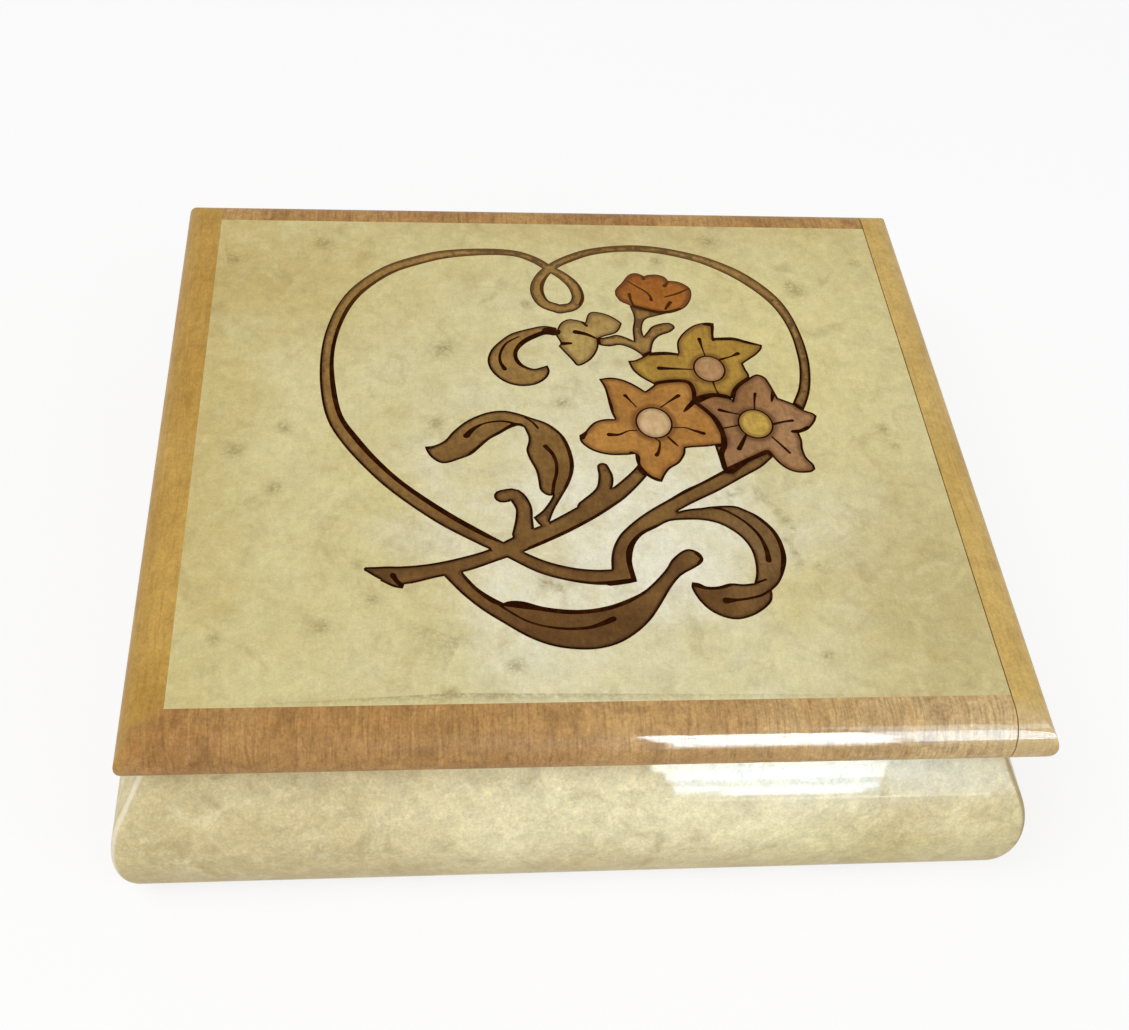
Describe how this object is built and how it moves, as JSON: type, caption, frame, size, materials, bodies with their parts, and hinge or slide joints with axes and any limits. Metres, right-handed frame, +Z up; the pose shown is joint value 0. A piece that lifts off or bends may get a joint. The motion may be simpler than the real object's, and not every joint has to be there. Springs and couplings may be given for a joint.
{
  "type": "puzzle box",
  "caption": "Inlaid wooden puzzle box with a flower and heart-vine marquetry lid, amber rounded border and a bombe maple-veneered body.",
  "frame": {"origin": "bottom centre of the body, on the surface that the box stands on", "axes": "+Z up, -Y towards the front, +X to the right"},
  "size_m": [0.1438, 0.1312, 0.041],
  "materials": {
    "maple_veneer": "high gloss lacquered birdseye maple",
    "panel_wood": "plain",
    "felt": "felt",
    "velvet": "velvet",
    "brass": "polished",
    "core_wood": "plain",
    "field_veneer": "high gloss lacquered burr maple",
    "amber_wood": "high gloss lacquered",
    "walnut_inlay": "high gloss lacquered",
    "yellow_inlay": "high gloss lacquered",
    "orange_inlay": "high gloss lacquered",
    "mauve_inlay": "high gloss lacquered",
    "red_inlay": "high gloss lacquered",
    "pale_inlay": "high gloss lacquered",
    "pink_inlay": "high gloss lacquered",
    "gold_inlay": "high gloss lacquered"
  },
  "bodies": {
    "body": {"front_wall": "maple_veneer", "back_wall": "maple_veneer", "left_wall": "maple_veneer", "right_wall": "maple_veneer", "base_panel": "panel_wood", "base_felt": "felt", "floor_lining": "velvet", "front_lining": "velvet", "back_lining": "velvet", "left_lining": "velvet", "right_lining": "velvet", "keeper_plate": "brass", "keeper_screws": "brass", "body_leaf_left": "brass", "body_leaf_right": "brass", "body_leaf_screws": "brass", "hinge_pins": "brass"},
    "lid": {"lid_leaf_left": "brass", "lid_leaf_right": "brass", "lid_leaf_screws": "brass", "lid_core": "core_wood", "lid_veneer": "field_veneer", "front_strip": "amber_wood", "back_strip": "amber_wood", "left_rail": "amber_wood", "lid_lining": "velvet", "vine_inlay": "walnut_inlay", "yellow_flower": "yellow_inlay", "orange_flower": "orange_inlay", "mauve_flower": "mauve_inlay", "carnation_inlay": "red_inlay", "bud_inlay": "pale_inlay", "pink_centres": "pink_inlay", "yellow_centre": "gold_inlay"},
    "slide_rail": {"slide_rail": "amber_wood", "locking_pins": "brass"}
  },
  "joints": [
    {"name": "lid_hinge", "type": "hinge", "parent": "body", "child": "lid", "pos_m": [0, 0.06215, 0.031], "axis": [-1, 0, 0], "range_deg": [0, 100]},
    {"name": "rail_slide", "type": "slide", "parent": "lid", "child": "slide_rail", "axis": [0, -1, 0], "range_m": [0, 0.009]}
  ]
}
